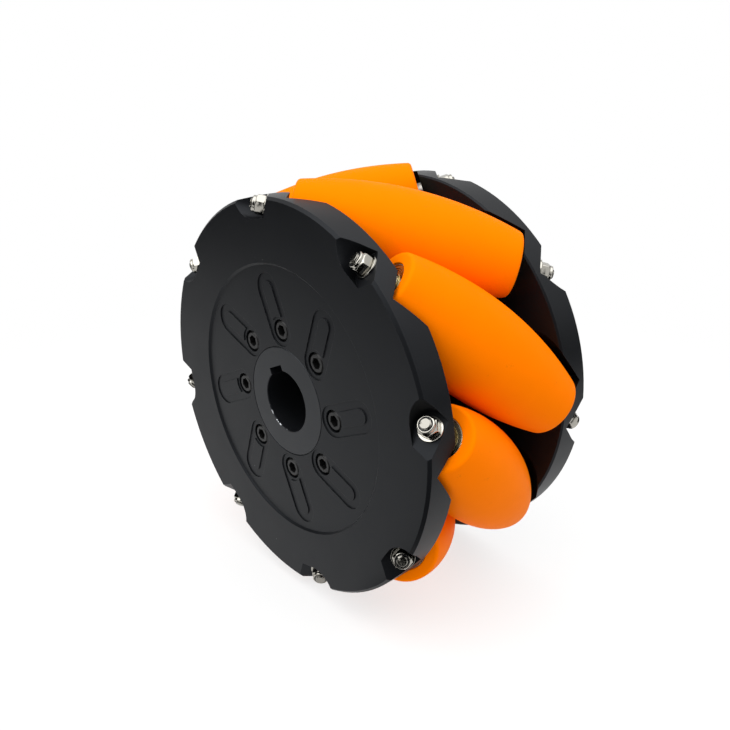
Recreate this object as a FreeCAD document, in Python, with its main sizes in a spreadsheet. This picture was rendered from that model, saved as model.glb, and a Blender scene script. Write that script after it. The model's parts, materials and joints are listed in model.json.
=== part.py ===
"""Mecanum wheel with eight barrel rollers at 45 degrees between two milled side plates.

Frame: origin at the wheel's centre, +Y along the shaft from the near plate to the far plate, +Z up.
A roller's own frame has its Z axis along the axle, its X axis pointing out from the shaft and its origin
halfway along the axle. All sizes are in millimetres and degrees.
"""
import FreeCAD, Part
import Sketcher
import os

# Driving dimensions: name, value and what it measures
SIZES = [
    ("wheel_radius", 101.6, "radius of the cylinder that the rollers run on"),
    ("roller_radius", 22.7, "a roller at its middle"),
    ("rim_clearance", 5.6, "from a side plate's rim to the ground"),
    ("plate_thickness", 15.6, "side plate at its rim"),
    ("rim_chamfer", 1.3, "outer edge of a plate's rim"),
    ("inner_rim_chamfer", 0.8, "inner edge of a plate's rim"),
    ("face_recess_radius", 66.4, "turned recess in the outer face, at its mouth"),
    ("face_recess_depth", 1.0, "depth of that recess, with a 45 degree wall"),
    ("clocking", 26.2, "angle of the first roller from the top, towards -X"),
    ("roller_count", 8, "rollers, and screws at each plate"),
    ("roller_tilt", 45.0, "angle between an axle and the shaft"),
    ("roller_overlap", 0.75, "turn of the wheel that each end of a roller shares with the next roller"),
    ("roller_end_gap", 2.0, "between a roller's end and the floor of its pocket"),
    ("pocket_clearance", 2.5, "between a roller's end edge and the wall of its pocket"),
    ("pocket_flare", 14.4, "half angle of the conical roller pocket"),
    ("tyre_edge_radius", 2.0, "rounded edge at each end of a tyre"),
    ("core_wall", 2.5, "tube under a tyre, round its bearings"),
    ("bearing_shoulder", 1.3, "step in that tube behind a bearing"),
    ("bearing_inset", 1.2, "from a roller's end to its bearing"),
    ("bearing_radius", 9.5, "outside of a bearing"),
    ("bearing_width", 6.0, "width of a bearing"),
    ("track_wall", 1.44, "radial thickness of a bearing's rings under their tracks"),
    ("track_depth", 0.46, "depth of a track"),
    ("ball_count", 7, "balls in one bearing"),
    ("ball_clearance", 0.06, "radial gap between the balls and their tracks"),
    ("shield_thickness", 0.3, "sheet of a bearing's shields"),
    ("shield_inset", 0.25, "from a bearing's face to its shield"),
    ("shield_gap", 0.25, "radial gap between a shield and the inner ring"),
    ("tyre_lip_gap", 0.25, "radial gap between a bearing and the tyre's mouth"),
    ("axle_radius", 3.0, "an axle stud's thread"),
    ("axle_end_drop", 0.3, "from a nut's top down to the end of its axle stud"),
    ("thread_chamfer", 0.5, "ends of studs and screws"),
    ("axle_web", 8.7, "plate metal between a roller's pocket and the nut's seat"),
    ("spacer_wall", 1.5, "wall of the spacers on an axle"),
    ("sliding_gap", 0.08, "radial gap of the holes that slide over an axle"),
    ("fit_gap", 0.02, "radial gap of pressed and located pieces"),
    ("washer_radius", 5.5, "outside of a washer"),
    ("washer_thickness", 1.6, "a washer"),
    ("nut_flats", 10.0, "across the flats of a nut"),
    ("nut_height", 5.8, "a locking nut with its collar"),
    ("nut_hex_height", 4.0, "the nut's hexagon up to the collar"),
    ("nut_collar_step", 0.4, "from a nut's flats in to its collar"),
    ("nut_lip", 0.7, "slanted top edge of the collar"),
    ("nut_ring_width", 0.8, "from the thread to the wall of the collar's mouth"),
    ("nut_turn", 14.0, "angle of a nut's corner about its axle"),
    ("nut_sink", 1.9, "from a plate's face down to the middle of a nut's top"),
    ("nut_pocket_gap", 1.7, "between a washer and the round wall of its pocket"),
    ("nut_pocket_ramp", 41.0, "slope of the wall that runs out from the round"),
    ("bore_radius", 15.0, "shaft bore"),
    ("bore_chamfer", 0.3, "mouths of the shaft bore"),
    ("keyway_width", 10.0, "keyway in the shaft bore"),
    ("keyway_depth", 2.3, "from the bore's wall to the keyway's floor"),
    ("spigot_wall", 11.7, "the hub's ends inside the plates, round the bore"),
    ("flange_margin", 10.0, "from the screws' centres out to the edge of the hub's flanges"),
    ("flange_thickness", 16.0, "the hub's flanges"),
    ("waist_wall", 14.0, "the hub between its flanges, round the bore"),
    ("waist_slope", 7.0, "length of the cone from a flange to the waist"),
    ("edge_break", 0.3, "small chamfer on turned edges"),
    ("screw_inset", 8.3, "from the hub's end in its plate out to the circle of the plate screws"),
    ("screw_radius", 3.0, "a plate screw's thread"),
    ("screw_length", 20.0, "a plate screw under its head"),
    ("head_radius", 5.0, "a screw's head"),
    ("head_height", 6.0, "a screw's head"),
    ("head_chamfer", 1.0, "top edge of a screw's head"),
    ("head_sink", 0.7, "a head's top below the plate's face"),
    ("socket_flats", 5.0, "hexagon socket in a head"),
    ("socket_depth", 3.0, "hexagon socket in a head"),
    ("head_clearance", 0.4, "radial gap round a screw's head"),
    ("screw_clearance", 0.3, "radial gap round a screw in the plate"),
    ("tapped_spare", 2.7, "tapped hole beyond a screw's tip"),
    ("groove_depth", 0.5, "racetrack groove round each screw"),
    ("groove_outer_radius", 7.6, "outside of the groove's round ends"),
    ("island_radius", 3.6, "round outer end of the island in the groove"),
    ("groove_margin", 3.5, "from a groove's outer end to the edge of the recess's floor"),
    ("boss_gap_radius", 6.8, "hollow inner end of the island, about the screw"),
    ("tool_overrun", 1.0, "how far a cut runs past the faces that it opens"),
]

doc = FreeCAD.newDocument("MecanumWheel")
sheet = doc.addObject("Spreadsheet::Sheet", "Dims")
for row, (alias, value, meaning) in enumerate(SIZES, start=1):
    sheet.set(f"A{row}", alias)
    sheet.set(f"B{row}", str(value))
    sheet.set(f"C{row}", meaning)
    sheet.setAlias(f"B{row}", alias)
doc.recompute()

roller_count = int(sheet.roller_count)

AXLE_CIRCLE = "(Dims.wheel_radius - Dims.roller_radius)"

# A roller touches the wheel's cylinder along its whole length. At the wheel angle q its surface is at the
# distance THROW(q) from the axle, which gives the place along the axle and the radius there.
SWEEP = "(180 / Dims.roller_count + Dims.roller_overlap)"
THROW = f"(Dims.wheel_radius - {AXLE_CIRCLE} / cos({SWEEP}))"
HALF_LENGTH = (f"((Dims.wheel_radius - {THROW} * cos(Dims.roller_tilt)^2)"
               f" * sin({SWEEP}) / sin(Dims.roller_tilt))")
END_RADIUS = f"({THROW} * sqrt(1 - (sin(Dims.roller_tilt) * sin({SWEEP}))^2))"
# Centre of the arc through a barrel's middle and its two ends
BARREL_CENTRE = (f"((Dims.roller_radius^2 - {END_RADIUS}^2 - {HALF_LENGTH}^2)"
                 f" / (2 * (Dims.roller_radius - {END_RADIUS})))")

# Places along an axle, measured from the roller's middle
POCKET_FLOOR = f"({HALF_LENGTH} + Dims.roller_end_gap)"
NUT_SEAT = f"({POCKET_FLOOR} + Dims.axle_web)"
NUT_TOP = f"({NUT_SEAT} + Dims.washer_thickness + Dims.nut_height)"
BEARING_FACE = f"({HALF_LENGTH} - Dims.bearing_inset)"
BEARING_BACK = f"({BEARING_FACE} - Dims.bearing_width)"
BEARING_MIDDLE = f"({BEARING_FACE} - Dims.bearing_width / 2)"

# Radii about an axle
CORE_RADIUS = "(Dims.bearing_radius + Dims.core_wall)"
TRACK_CIRCLE = "((Dims.bearing_radius + Dims.axle_radius) / 2)"
TRACK_RADIUS = "((Dims.bearing_radius - Dims.axle_radius) / 2 - Dims.track_wall)"
RING_WALL = "(Dims.track_wall + Dims.track_depth)"

# Places along the shaft, measured from the wheel's middle
OUTER_FACE = f"({NUT_TOP} * cos(Dims.roller_tilt) + Dims.nut_sink)"
RECESSED_FACE = f"({OUTER_FACE} - Dims.face_recess_depth)"
INNER_FACE = f"({OUTER_FACE} - Dims.plate_thickness)"
HEAD_TOP = f"({RECESSED_FACE} - Dims.head_sink)"
HEAD_SEAT = f"({HEAD_TOP} - Dims.head_height)"
SCREW_TIP = f"({HEAD_SEAT} - Dims.screw_length)"

# Radii about the shaft
PLATE_RADIUS = "(Dims.wheel_radius - Dims.rim_clearance)"
SPIGOT_RADIUS = "(Dims.bore_radius + Dims.spigot_wall)"
SCREW_CIRCLE = f"({SPIGOT_RADIUS} + Dims.screw_inset)"
FLANGE_RADIUS = f"({SCREW_CIRCLE} + Dims.flange_margin)"

# A screw sits halfway between two rollers
SCREW_X = f"({SCREW_CIRCLE} * sin(180 / Dims.roller_count))"
SCREW_Z = f"({SCREW_CIRCLE} * cos(180 / Dims.roller_count))"


def turned(angle):
    """Placement turned about the shaft; a positive angle goes from the top towards +X."""
    return f"placement(vector(0; 0; 0); rotation(vector(0; 1; 0); {angle}))"


# Placements as expressions. Each one takes an object's own axes to the frame that it names.
ROLLER_FRAME = (f"placement(vector(0; 0; {AXLE_CIRCLE});"
                " rotation(vector(0; 0; 1); -Dims.roller_tilt) * rotation(vector(1; 1; 1); -120))")
STAND_UP = "placement(vector(0; 0; 0); rotation(vector(1; 0; 0); 90))"
AXLE_SECTION = f"{ROLLER_FRAME} * {STAND_UP}"
NUT_FRAME = (f"{ROLLER_FRAME} * placement(vector(0; 0; 0 - {NUT_SEAT});"
             " rotation(vector(1; 0; 0); 180) * rotation(vector(0; 0; 1); Dims.nut_turn))")
NUT_SECTION = f"{NUT_FRAME} * {STAND_UP}"
NEAR_SIDE = turned("0 - Dims.clocking")
FAR_SIDE = f"{NEAR_SIDE} * placement(vector(0; 0; 0); rotation(vector(0; 0; 1); 180))"
SIDES = {"near": NEAR_SIDE, "far": FAR_SIDE}


def roller_place(index):
    """Placement of a piece modelled in the frame of the roller with this index."""
    return f"{turned(f'0 - Dims.clocking - {index} * 360 / Dims.roller_count')} * {ROLLER_FRAME}"


def shifted(x, y, z):
    return f"placement(vector({x}; {y}; {z}); rotation(vector(0; 0; 1); 0))"


def along_shaft(x, y, z):
    """Placement at a point with its Z axis along +Y."""
    return f"placement(vector({x}; {y}; {z}); rotation(vector(1; 0; 0); -90))"


def new_body(label, place=None):
    body = doc.addObject("PartDesign::Body", label)
    body.Label = label
    if place:
        body.setExpression("Placement", place)
    return body


def origin_of(body, role):
    return next(item for item in body.Origin.OriginFeatures if item.Role == role)


def new_sketch(body, plane, offset=None):
    sketch = body.newObject("Sketcher::SketchObject", "Sketch")
    sketch.AttachmentSupport = (origin_of(body, plane), [""])
    sketch.MapMode = "FlatFace"
    if offset:
        sketch.setExpression("AttachmentOffset", offset)
    return sketch


def bind(sketch, kind, geometry, point, expression):
    """Hold one coordinate of a sketch point at an expression."""
    value = float(sketch.evalExpression(expression))
    index = sketch.addConstraint(Sketcher.Constraint(kind, -1, 1, geometry, point, value))
    sketch.setExpression(f"Constraints[{index}]", expression)


def draw_loop(sketch, corners, arcs=None):
    """Closed outline through the corners, given as pairs of expressions.

    arcs gives, for the edge that leaves a corner, (centre x, centre y, held coordinate, sense).
    """
    arcs = arcs or {}
    points = [tuple(float(sketch.evalExpression(part)) for part in corner) for corner in corners]
    start_ends = []
    for index, (x, y) in enumerate(points):
        end_x, end_y = points[(index + 1) % len(points)]
        start, end = FreeCAD.Vector(x, y, 0), FreeCAD.Vector(end_x, end_y, 0)
        if index not in arcs:
            start_ends.append((sketch.addGeometry(Part.LineSegment(start, end)), 1, 2))
            continue
        centre_x, centre_y, held, sense = arcs[index]
        centre = FreeCAD.Vector(float(sketch.evalExpression(centre_x)),
                                float(sketch.evalExpression(centre_y)), 0)
        first, last = (start, end) if sense == "left" else (end, start)
        first_angle = (first - centre).getAngle(FreeCAD.Vector(1, 0, 0))
        last_angle = (last - centre).getAngle(FreeCAD.Vector(1, 0, 0))
        if first.y < centre.y:
            first_angle = -first_angle
        if last.y < centre.y:
            last_angle = -last_angle
        circle = Part.Circle(centre, FreeCAD.Vector(0, 0, 1), (first - centre).Length)
        arc = sketch.addGeometry(Part.ArcOfCircle(circle, first_angle, last_angle))
        start_ends.append((arc, 1, 2) if sense == "left" else (arc, 2, 1))
        bind(sketch, held, arc, 3, centre_x if held == "DistanceX" else centre_y)
    for index, (geometry, start, end) in enumerate(start_ends):
        following, next_start, _ = start_ends[(index + 1) % len(start_ends)]
        sketch.addConstraint(Sketcher.Constraint("Coincident", geometry, end, following, next_start))
        bind(sketch, "DistanceX", geometry, start, corners[index][0])
        bind(sketch, "DistanceY", geometry, start, corners[index][1])


def hexagon(flats, x="0", y="0"):
    """Corners of a hexagon with two flats square to the sketch's X axis."""
    half, side = f"{flats} / 2", f"{flats} * tan(30)"
    return [(f"{x} + {half}", f"{y} - {side} / 2"), (f"{x} + {half}", f"{y} + {side} / 2"),
            (f"{x}", f"{y} + {side}"), (f"{x} - {half}", f"{y} + {side} / 2"),
            (f"{x} - {half}", f"{y} - {side} / 2"), (f"{x}", f"{y} - {side}")]


def rectangle(low_x, high_x, low_y, high_y):
    return [(low_x, low_y), (high_x, low_y), (high_x, high_y), (low_x, high_y)]


def revolve(body, loops, plane="XY_Plane", offset=None, kind="Revolution"):
    """Turn outlines, drawn as radius and height, about the sketch's Y axis."""
    sketch = new_sketch(body, plane, offset)
    for loop in loops:
        corners, arcs = loop if isinstance(loop, tuple) else (loop, None)
        draw_loop(sketch, corners, arcs)
    doc.recompute()
    feature = body.newObject(f"PartDesign::{kind}", kind)
    feature.Profile = sketch
    feature.ReferenceAxis = (sketch, ["V_Axis"])
    feature.Angle = 360
    body.Tip = feature
    return feature


def extrude(body, loops, length, plane="XY_Plane", offset=None, kind="Pad"):
    sketch = new_sketch(body, plane, offset)
    for loop in loops:
        corners, arcs = loop if isinstance(loop, tuple) else (loop, None)
        draw_loop(sketch, corners, arcs)
    doc.recompute()
    feature = body.newObject(f"PartDesign::{kind}", kind)
    feature.Profile = sketch
    feature.setExpression("Length", length)
    body.Tip = feature
    return feature


def round_tool(body, kind, offset, sizes):
    """Cylinder or cone of a body, placed by an expression."""
    feature = body.newObject(f"PartDesign::{kind}", kind)
    feature.AttachmentSupport = (origin_of(body, "XY_Plane"), [""])
    feature.MapMode = "FlatFace"
    feature.setExpression("AttachmentOffset", offset)
    for name, expression in sizes.items():
        feature.setExpression(name, expression)
    body.Tip = feature
    return feature


def repeat(body, features, axis, count):
    doc.recompute()
    pattern = body.newObject("PartDesign::PolarPattern", "PolarPattern")
    pattern.Originals = features
    pattern.Axis = (origin_of(body, axis), [""])
    pattern.Angle = 360
    pattern.setExpression("Occurrences", count)
    body.Tip = pattern
    doc.recompute()
    return pattern


def repeat_round_shaft(body, features):
    return repeat(body, features, "Y_Axis", "Dims.roller_count")


def edges_where(shape, test):
    return [f"Edge{number}" for number, edge in enumerate(shape.Edges, start=1) if test(edge)]


def make_hub():
    """Keyed hub: a spool with a flange against each plate and a spigot through it."""
    body = new_body("hub", NEAR_SIDE)
    flange_back = f"({INNER_FACE} - Dims.flange_thickness)"
    half = [
        ("Dims.bore_radius", f"{RECESSED_FACE} - Dims.bore_chamfer"),
        ("Dims.bore_radius + Dims.bore_chamfer", RECESSED_FACE),
        (f"{SPIGOT_RADIUS} - Dims.edge_break", RECESSED_FACE),
        (SPIGOT_RADIUS, f"{RECESSED_FACE} - Dims.edge_break"),
        (SPIGOT_RADIUS, INNER_FACE),
        (f"{FLANGE_RADIUS} - Dims.edge_break", INNER_FACE),
        (FLANGE_RADIUS, f"{INNER_FACE} - Dims.edge_break"),
        (FLANGE_RADIUS, flange_back),
        ("Dims.bore_radius + Dims.waist_wall", f"{flange_back} - Dims.waist_slope"),
    ]
    mirrored = [(radius, f"0 - ({height})") for radius, height in reversed(half)]
    revolve(body, [half + mirrored])
    doc.recompute()
    keyway = rectangle("0 - Dims.keyway_width / 2", "Dims.keyway_width / 2",
                       "0", "Dims.bore_radius + Dims.keyway_depth")
    pocket = extrude(body, [keyway], f"2 * {OUTER_FACE}", "XZ_Plane", kind="Pocket")
    pocket.Midplane = True
    doc.recompute()
    depth = f"({INNER_FACE} - {SCREW_TIP} + Dims.tapped_spare)"
    for start in (f"0 - {INNER_FACE}", f"{INNER_FACE} - {depth}"):
        hole = round_tool(body, "SubtractiveCylinder", along_shaft(SCREW_X, start, SCREW_Z),
                          {"Radius": "Dims.screw_radius + Dims.fit_gap", "Height": depth})
        repeat_round_shaft(body, [hole])
    return body


def cut_nut_pockets(body):
    """Pocket for a washer and nut, square to the axle and open to the rim.

    Its round wall runs on in a straight ramp that leaves through the plate's face.
    """
    rim = f"({PLATE_RADIUS} + Dims.tool_overrun)"
    radius, ramp = "(Dims.washer_radius + Dims.nut_pocket_gap)", "Dims.nut_pocket_ramp"
    ramp_length = f"({rim} - {radius})"
    tangent = (f"0 - {radius} * cos({ramp})", f"{radius} * sin({ramp})")
    ramp_end = (f"{tangent[0]} + {ramp_length} * sin({ramp})", f"{tangent[1]} + {ramp_length} * cos({ramp})")
    corners = [(rim, f"0 - {radius}"), ("0", f"0 - {radius}"), tangent, ramp_end, (rim, ramp_end[1])]
    arcs = {1: ("0", "0", "DistanceX", "right")}
    floor = f"{ROLLER_FRAME} * {shifted('0', '0', f'0 - {NUT_SEAT}')}"
    return extrude(body, [(corners, arcs)], f"2 * {OUTER_FACE}", offset=floor, kind="Pocket")


def cut_roller_pockets(body):
    """Cone about the axle that clears the end of a roller."""
    floor = f"{ROLLER_FRAME} * {shifted('0', '0', f'0 - {POCKET_FLOOR}')}"
    floor_radius = f"({END_RADIUS} + Dims.pocket_clearance)"
    depth = "(2 * Dims.plate_thickness)"
    return round_tool(body, "SubtractiveCone", floor,
                      {"Radius1": floor_radius,
                       "Radius2": f"{floor_radius} + {depth} * tan(Dims.pocket_flare)",
                       "Height": depth})


def cut_grooves(body):
    """Racetrack groove that starts round a screw and points at the next roller."""
    outer, island, boss = "Dims.groove_outer_radius", "Dims.island_radius", "Dims.boss_gap_radius"
    floor_radius = "(Dims.face_recess_radius - Dims.face_recess_depth)"
    far_z = f"sqrt(({floor_radius} - Dims.groove_margin - {outer})^2 - {SCREW_X}^2)"
    hollow_z = f"({SCREW_Z} + sqrt({boss}^2 - {island}^2))"
    outside = [(f"{SCREW_X} - {outer}", SCREW_Z), (f"{SCREW_X} + {outer}", SCREW_Z),
               (f"{SCREW_X} + {outer}", far_z), (f"{SCREW_X} - {outer}", far_z)]
    outside_arcs = {0: (SCREW_X, SCREW_Z, "DistanceY", "left"), 2: (SCREW_X, far_z, "DistanceY", "left")}
    inside = [(f"{SCREW_X} - {island}", hollow_z), (f"{SCREW_X} + {island}", hollow_z),
              (f"{SCREW_X} + {island}", far_z), (f"{SCREW_X} - {island}", far_z)]
    inside_arcs = {0: (SCREW_X, SCREW_Z, "DistanceY", "right"), 2: (SCREW_X, far_z, "DistanceY", "left")}
    face = shifted("0", "0", RECESSED_FACE)
    return extrude(body, [(outside, outside_arcs), (inside, inside_arcs)], "Dims.groove_depth",
                   "XZ_Plane", face, kind="Pocket")


def make_plate(side):
    """Side plate: turned blank with pockets for the rollers' ends, the nuts and the screws."""
    body = new_body(f"{side}_plate", SIDES[side])
    centre_hole = f"{SPIGOT_RADIUS} + Dims.fit_gap"
    outline = [
        (centre_hole, f"0 - {INNER_FACE}"),
        (centre_hole, f"0 - {RECESSED_FACE} + Dims.edge_break"),
        (f"{centre_hole} + Dims.edge_break", f"0 - {RECESSED_FACE}"),
        ("Dims.face_recess_radius - Dims.face_recess_depth", f"0 - {RECESSED_FACE}"),
        ("Dims.face_recess_radius", f"0 - {OUTER_FACE}"),
        (f"{PLATE_RADIUS} - Dims.rim_chamfer", f"0 - {OUTER_FACE}"),
        (PLATE_RADIUS, f"0 - {OUTER_FACE} + Dims.rim_chamfer"),
        (PLATE_RADIUS, f"0 - {INNER_FACE} - Dims.inner_rim_chamfer"),
        (f"{PLATE_RADIUS} - Dims.inner_rim_chamfer", f"0 - {INNER_FACE}"),
    ]
    revolve(body, [outline])
    doc.recompute()
    repeat_round_shaft(body, [cut_grooves(body)])
    repeat_round_shaft(body, [cut_nut_pockets(body)])
    repeat_round_shaft(body, [cut_roller_pockets(body)])
    hole_start = f"{ROLLER_FRAME} * {shifted('0', '0', f'0 - {NUT_SEAT} - Dims.tool_overrun')}"
    axle_hole = round_tool(body, "SubtractiveCylinder", hole_start,
                           {"Radius": "Dims.axle_radius + Dims.sliding_gap",
                            "Height": "Dims.axle_web + 2 * Dims.tool_overrun"})
    repeat_round_shaft(body, [axle_hole])
    from_face = along_shaft(SCREW_X, f"0 - {OUTER_FACE}", SCREW_Z)
    counterbore = round_tool(body, "SubtractiveCylinder", from_face,
                             {"Radius": "Dims.head_radius + Dims.head_clearance",
                              "Height": f"{OUTER_FACE} - {HEAD_SEAT}"})
    repeat_round_shaft(body, [counterbore])
    screw_hole = round_tool(body, "SubtractiveCylinder", from_face,
                            {"Radius": "Dims.screw_radius + Dims.screw_clearance",
                             "Height": "Dims.plate_thickness + Dims.tool_overrun"})
    repeat_round_shaft(body, [screw_hole])
    return body


def make_plate_screws(side):
    """Socket head cap screws of one plate."""
    body = new_body(f"{side}_plate_screws", SIDES[side])
    section = [
        ("0", f"0 - {HEAD_TOP}"),
        ("Dims.head_radius - Dims.head_chamfer", f"0 - {HEAD_TOP}"),
        ("Dims.head_radius", f"0 - {HEAD_TOP} + Dims.head_chamfer"),
        ("Dims.head_radius", f"0 - {HEAD_SEAT}"),
        ("Dims.screw_radius", f"0 - {HEAD_SEAT}"),
        ("Dims.screw_radius", f"0 - {SCREW_TIP} - Dims.thread_chamfer"),
        ("Dims.screw_radius - Dims.thread_chamfer", f"0 - {SCREW_TIP}"),
        ("0", f"0 - {SCREW_TIP}"),
    ]
    shank = revolve(body, [section], offset=shifted(SCREW_X, "0", SCREW_Z))
    doc.recompute()
    socket = extrude(body, [hexagon("Dims.socket_flats", SCREW_X, SCREW_Z)], "Dims.socket_depth",
                     "XZ_Plane", shifted("0", "0", HEAD_TOP), kind="Pocket")
    repeat_round_shaft(body, [shank, socket])
    return body


def make_washers(side):
    body = new_body(f"{side}_washers", SIDES[side])
    section = rectangle("Dims.axle_radius + Dims.sliding_gap", "Dims.washer_radius",
                        "0", "Dims.washer_thickness")
    repeat_round_shaft(body, [revolve(body, [section], offset=NUT_SECTION)])
    return body


def make_nuts(side):
    """Locking nuts: a hexagon with a round collar that holds a nylon ring."""
    body = new_body(f"{side}_nuts", SIDES[side])
    seat, top = "Dims.washer_thickness", "(Dims.washer_thickness + Dims.nut_height)"
    collar = "(Dims.nut_flats / 2 - Dims.nut_collar_step)"
    shoulder = f"({seat} + Dims.nut_hex_height)"
    over, clear = f"({top} + Dims.tool_overrun)", "Dims.nut_flats"
    lead, lip = "(Dims.nut_flats / 2 - Dims.edge_break)", "Dims.nut_lip"
    blank = extrude(body, [hexagon("Dims.nut_flats")], "Dims.nut_height",
                    offset=f"{NUT_FRAME} * {shifted('0', '0', seat)}")
    doc.recompute()
    above_hexagon = [
        (collar, shoulder),
        (clear, f"{shoulder} - ({clear} - {collar}) * tan(30)"),
        (clear, over),
        (f"{collar} - {lip}", over),
        (f"{collar} - {lip}", top),
        (collar, f"{top} - {lip}"),
    ]
    below_hexagon = [(lead, seat), (clear, seat), (clear, f"{seat} + ({clear} - {lead}) * tan(30)")]
    thread, mouth = "(Dims.axle_radius + Dims.fit_gap)", "(Dims.axle_radius + Dims.nut_ring_width)"
    bore = [
        ("0", f"{seat} - Dims.tool_overrun"), (thread, f"{seat} - Dims.tool_overrun"),
        (thread, f"{top} - {lip}"), (mouth, f"{top} - {lip}"),
        (mouth, over), ("0", over),
    ]
    cuts = []
    for section in (above_hexagon, below_hexagon, bore):
        cuts.append(revolve(body, [section], offset=NUT_SECTION, kind="Groove"))
        doc.recompute()
    repeat_round_shaft(body, [blank] + cuts)
    return body


def ring_loop(which, end):
    """Section of one bearing ring, with the track for the balls; end is the sign of its place."""
    middle = f"{end} * {BEARING_MIDDLE}"
    low, high = f"({middle} - Dims.bearing_width / 2)", f"({middle} + Dims.bearing_width / 2)"
    half_track = f"sqrt({TRACK_RADIUS}^2 - ({TRACK_RADIUS} - Dims.track_depth)^2)"
    if which == "inner":
        bore, land = "Dims.axle_radius + Dims.fit_gap", f"(Dims.axle_radius + {RING_WALL})"
    else:
        bore, land = "Dims.bearing_radius", f"(Dims.bearing_radius - {RING_WALL})"
    track_low, track_high = (land, f"{middle} - {half_track}"), (land, f"{middle} + {half_track}")
    if which == "inner":
        corners = [(bore, low), (land, low), track_low, track_high, (land, high), (bore, high)]
        return corners, {2: (TRACK_CIRCLE, middle, "DistanceX", "right")}
    corners = [(land, low), (bore, low), (bore, high), (land, high), track_high, track_low]
    return corners, {4: (TRACK_CIRCLE, middle, "DistanceX", "right")}


def make_inner_rings():
    """Inner rings of all bearings, which stay still on the axles."""
    body = new_body("bearing_inner_rings", NEAR_SIDE)
    loops = [ring_loop("inner", "0 - 1"), ring_loop("inner", "1")]
    repeat_round_shaft(body, [revolve(body, loops, offset=AXLE_SECTION)])
    return body


def make_inner_spacers():
    """Tubes between the two inner rings of each roller."""
    body = new_body("inner_spacers", NEAR_SIDE)
    section = rectangle("Dims.axle_radius + Dims.sliding_gap", "Dims.axle_radius + Dims.spacer_wall",
                        f"0 - {BEARING_BACK}", BEARING_BACK)
    repeat_round_shaft(body, [revolve(body, [section], offset=AXLE_SECTION)])
    return body


def make_end_spacers():
    """Rings between each bearing and the floor of its roller's pocket."""
    body = new_body("end_spacers", NEAR_SIDE)
    loops = []
    for low, high in ((BEARING_FACE, POCKET_FLOOR), (f"0 - {POCKET_FLOOR}", f"0 - {BEARING_FACE}")):
        loops.append(rectangle("Dims.axle_radius + Dims.sliding_gap",
                               "Dims.axle_radius + Dims.spacer_wall", low, high))
    repeat_round_shaft(body, [revolve(body, loops, offset=AXLE_SECTION)])
    return body


def make_axle(index):
    """Threaded stud through both plates and one roller."""
    body = new_body(f"axle_{index + 1}", roller_place(index))
    end = f"({NUT_TOP} - Dims.axle_end_drop)"
    full = f"({end} - Dims.thread_chamfer)"
    slim = "Dims.axle_radius - Dims.thread_chamfer"
    section = [("0", f"0 - {end}"), (slim, f"0 - {end}"), ("Dims.axle_radius", f"0 - {full}"),
               ("Dims.axle_radius", full), (slim, end), ("0", end)]
    revolve(body, [section], "XZ_Plane")
    return body


def make_tyre(index):
    """Barrel tyre with rounded ends, moulded over its core and turned in a lip over the core's ends."""
    body = new_body(f"roller_tyre_{index + 1}", roller_place(index))
    mouth = "Dims.bearing_radius + Dims.tyre_lip_gap"
    section = [
        (END_RADIUS, f"0 - {HALF_LENGTH}"),
        (END_RADIUS, HALF_LENGTH),
        (mouth, HALF_LENGTH),
        (mouth, BEARING_FACE),
        (CORE_RADIUS, BEARING_FACE),
        (CORE_RADIUS, f"0 - {BEARING_FACE}"),
        (mouth, f"0 - {BEARING_FACE}"),
        (mouth, f"0 - {HALF_LENGTH}"),
    ]
    barrel = revolve(body, [(section, {0: (BARREL_CENTRE, "0", "DistanceX", "left")})], "XZ_Plane")
    doc.recompute()
    end_radius = float(body.evalExpression(END_RADIUS))
    fillet = body.newObject("PartDesign::Fillet", "Fillet")
    fillet.Base = (barrel, edges_where(barrel.Shape, lambda edge: is_circle(edge, end_radius)))
    fillet.setExpression("Radius", "Dims.tyre_edge_radius")
    body.Tip = fillet
    return body


def is_circle(edge, radius):
    return isinstance(edge.Curve, Part.Circle) and abs(edge.Curve.Radius - radius) < 1e-4


def make_core(index):
    """Tube under a tyre with a seat for a bearing at each end."""
    body = new_body(f"roller_core_{index + 1}", roller_place(index))
    seat, bore = "Dims.bearing_radius + Dims.fit_gap", "Dims.bearing_radius - Dims.bearing_shoulder"
    section = [
        (seat, f"0 - {BEARING_FACE}"), (CORE_RADIUS, f"0 - {BEARING_FACE}"),
        (CORE_RADIUS, BEARING_FACE), (seat, BEARING_FACE), (seat, BEARING_BACK),
        (bore, BEARING_BACK), (bore, f"0 - {BEARING_BACK}"), (seat, f"0 - {BEARING_BACK}"),
    ]
    revolve(body, [section], "XZ_Plane")
    return body


def make_outer_rings(index):
    body = new_body(f"bearing_outer_rings_{index + 1}", roller_place(index))
    revolve(body, [ring_loop("outer", "0 - 1"), ring_loop("outer", "1")], "XZ_Plane")
    return body


def make_balls(index):
    """Balls of both bearings, halfway between their rings."""
    body = new_body(f"bearing_balls_{index + 1}", roller_place(index))
    for end in ("0 - ", ""):
        ball = round_tool(body, "AdditiveSphere", shifted(TRACK_CIRCLE, "0", f"{end}{BEARING_MIDDLE}"),
                          {"Radius": f"{TRACK_RADIUS} - Dims.ball_clearance"})
        repeat(body, [ball], "Z_Axis", "Dims.ball_count")
    return body


def make_shields(index):
    """Sheet discs that close both faces of both bearings."""
    body = new_body(f"bearing_shields_{index + 1}", roller_place(index))
    inside = f"Dims.axle_radius + {RING_WALL} + Dims.shield_gap"
    outside = f"Dims.bearing_radius - {RING_WALL} - Dims.fit_gap / 2"
    offsets = ["Dims.shield_inset", "Dims.bearing_width - Dims.shield_inset - Dims.shield_thickness"]
    loops = []
    for offset in offsets:
        top = f"({BEARING_FACE} - ({offset}))"
        bottom = f"({top} - Dims.shield_thickness)"
        loops.append(rectangle(inside, outside, bottom, top))
        loops.append(rectangle(inside, outside, f"0 - {top}", f"0 - {bottom}"))
    revolve(body, loops, "XZ_Plane")
    return body


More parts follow.
